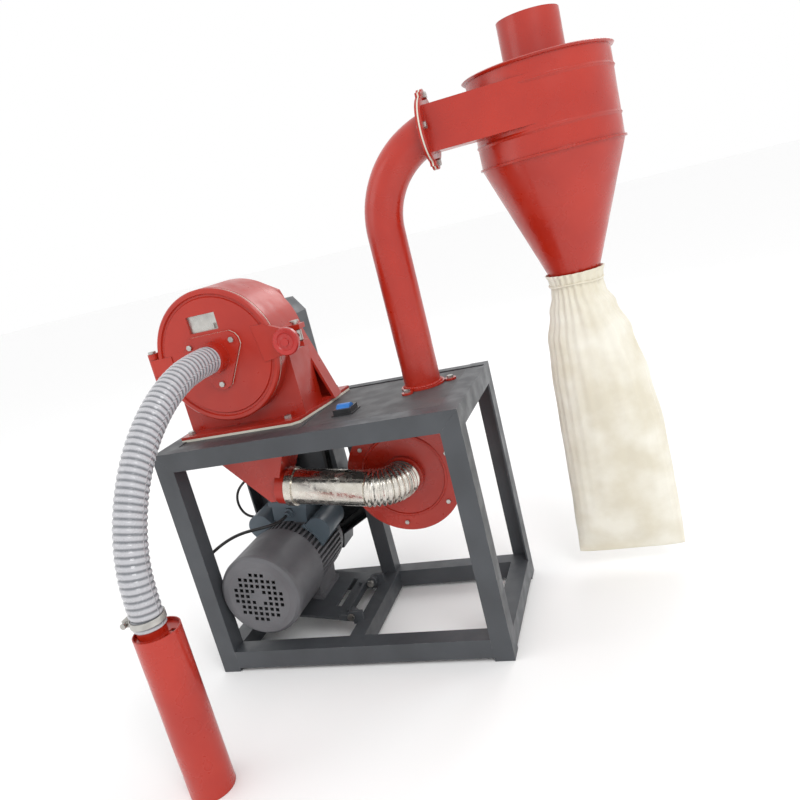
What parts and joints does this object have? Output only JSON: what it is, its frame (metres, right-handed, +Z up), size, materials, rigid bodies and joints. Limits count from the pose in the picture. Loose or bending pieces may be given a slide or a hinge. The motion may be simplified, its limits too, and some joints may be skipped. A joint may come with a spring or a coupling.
{
  "type": "self-suction hammer mill",
  "caption": "Hammer mill on a steel frame with round door, suction hose and nozzle, belt-driven fan, discharge pipe, cyclone and collection bag.",
  "frame": {"origin": "under the middle of the machine without its hose and cables, on the floor", "axes": "+Z up, +X to the right towards the cyclone, +Y to the back towards the belts"},
  "size_m": [1.0098, 0.8325, 1.149],
  "materials": {
    "frame_paint": "satin",
    "table_paint": "satin",
    "mill_paint": "gloss",
    "red_paint": "gloss",
    "gasket_card": "matte",
    "steel": "satin",
    "cast_housings": "rough",
    "stainless": "satin",
    "nozzle_paint": "gloss",
    "wheel_plastic": "gloss",
    "fan_wheel_paint": "satin",
    "pulley_iron": "rough",
    "belt_rubber": "matte",
    "pipe_paint": "gloss",
    "cyclone_paint": "gloss",
    "bag_cotton": "matte",
    "motor_paint": "satin",
    "motor_box_paint": "satin",
    "cooling_fan_plastic": "matte",
    "switch_black": "gloss",
    "switch_blue": "gloss",
    "hose_plastic": "gloss",
    "cable_rubber": "matte"
  },
  "bodies": {
    "frame": {"casing_ears": "mill_paint", "frame_legs": "frame_paint", "top_frame": "frame_paint", "bottom_rails": "frame_paint", "table_plates": "table_paint", "mill_casing": "mill_paint", "flange_gaskets": "gasket_card", "ring_screen": "steel", "bearing_housings": "cast_housings", "shaft_bearings": "steel", "latch_barrel_nut": "steel", "hopper": "red_paint", "tube_collar": "stainless", "suction_tube": "stainless", "corrugated_elbow": "stainless", "fan_casing": "red_paint", "fan_cover": "red_paint", "drive_belts": "belt_rubber", "belt_guard": "frame_paint", "discharge_pipe": "pipe_paint", "cyclone_barrel": "cyclone_paint", "cyclone_lid": "cyclone_paint", "cyclone_cone": "cyclone_paint", "collection_bag": "bag_cotton", "bag_drawstring": "bag_cotton", "frame_fasteners": "steel", "adjuster_screw": "steel", "switch_base": "switch_black", "motor_cable": "cable_rubber", "switch_cable": "cable_rubber"},
    "mill_rotor": {"rotor_shaft": "steel", "rotor_discs": "steel", "hammer_pins": "steel", "mill_pulley": "pulley_iron"},
    "hammers_a": {"hammer_row_a": "steel"},
    "hammers_b": {"hammer_row_b": "steel"},
    "hammers_c": {"hammer_row_c": "steel"},
    "hammers_d": {"hammer_row_d": "steel"},
    "mill_door": {"door": "mill_paint", "door_gaskets": "gasket_card", "inlet_spigot": "red_paint", "inlet_bolts": "steel", "suction_hose": "hose_plastic", "hose_clamp": "steel", "nozzle_sleeve": "nozzle_paint", "nozzle_core": "nozzle_paint"},
    "gate": {"air_gate": "steel"},
    "latch": {"latch_handwheel": "wheel_plastic"},
    "fan_rotor": {"fan_wheel": "fan_wheel_paint", "fan_shaft": "steel", "fan_pulley": "pulley_iron"},
    "motor_mount": {"motor_plate": "frame_paint", "motor_housing": "motor_paint", "motor_fan_cover": "motor_paint", "terminal_box": "motor_box_paint", "capacitor_covers": "motor_box_paint"},
    "motor_rotor": {"motor_shaft": "steel", "cooling_fan": "cooling_fan_plastic", "motor_pulley": "pulley_iron"},
    "rocker": {"switch_rocker": "switch_blue"}
  },
  "joints": [
    {"name": "mill_spin", "type": "hinge", "parent": "frame", "child": "mill_rotor", "pos_m": [-0.332, -0.037, 0.678], "axis": [0, 1, 0], "continuous": true},
    {"name": "hammers_a_swing", "type": "hinge", "parent": "mill_rotor", "child": "hammers_a", "pos_m": [-0.29099, -0.077, 0.71901], "axis": [0, 1, 0], "range_deg": [-60, 8]},
    {"name": "hammers_b_swing", "type": "hinge", "parent": "mill_rotor", "child": "hammers_b", "pos_m": [-0.37301, -0.077, 0.71901], "axis": [0, 1, 0], "range_deg": [-8, 60]},
    {"name": "hammers_c_swing", "type": "hinge", "parent": "mill_rotor", "child": "hammers_c", "pos_m": [-0.37301, -0.077, 0.63699], "axis": [0, 1, 0], "range_deg": [-25, 30]},
    {"name": "hammers_d_swing", "type": "hinge", "parent": "mill_rotor", "child": "hammers_d", "pos_m": [-0.29099, -0.077, 0.63699], "axis": [0, 1, 0], "range_deg": [-30, 25]},
    {"name": "door_swing", "type": "hinge", "parent": "frame", "child": "mill_door", "pos_m": [-0.482, -0.157, 0.678], "axis": [0, 0, -1], "range_deg": [0, 110]},
    {"name": "gate_slide", "type": "slide", "parent": "mill_door", "child": "gate", "axis": [-1, 0, 0], "range_m": [0, 0.039]},
    {"name": "latch_spin", "type": "hinge", "parent": "mill_door", "child": "latch", "pos_m": [-0.164, -0.192, 0.682], "axis": [0, 1, 0], "continuous": true},
    {"name": "fan_spin", "type": "hinge", "parent": "frame", "child": "fan_rotor", "pos_m": [-0.047, 0.003, 0.337], "axis": [0, 1, 0], "continuous": true},
    {"name": "motor_tilt", "type": "hinge", "parent": "frame", "child": "motor_mount", "pos_m": [-0.216, -0.037, 0.06], "axis": [0, 1, 0], "range_deg": [0, 4], "deforming": ["drive_belts", "motor_cable", "switch_cable"]},
    {"name": "motor_spin", "type": "hinge", "parent": "motor_mount", "child": "motor_rotor", "pos_m": [-0.37102, -0.037, 0.16798], "axis": [0, 1, 0], "continuous": true},
    {"name": "rocker_tilt", "type": "hinge", "parent": "frame", "child": "rocker", "pos_m": [-0.107, -0.129, 0.517], "axis": [1, 0, 0], "range_deg": [-10, 10]}
  ],
  "couplings": [
    {"joint": "motor_spin", "follows": "mill_spin", "ratio": 0.84615},
    {"joint": "fan_spin", "follows": "mill_spin", "ratio": 1.0577}
  ]
}
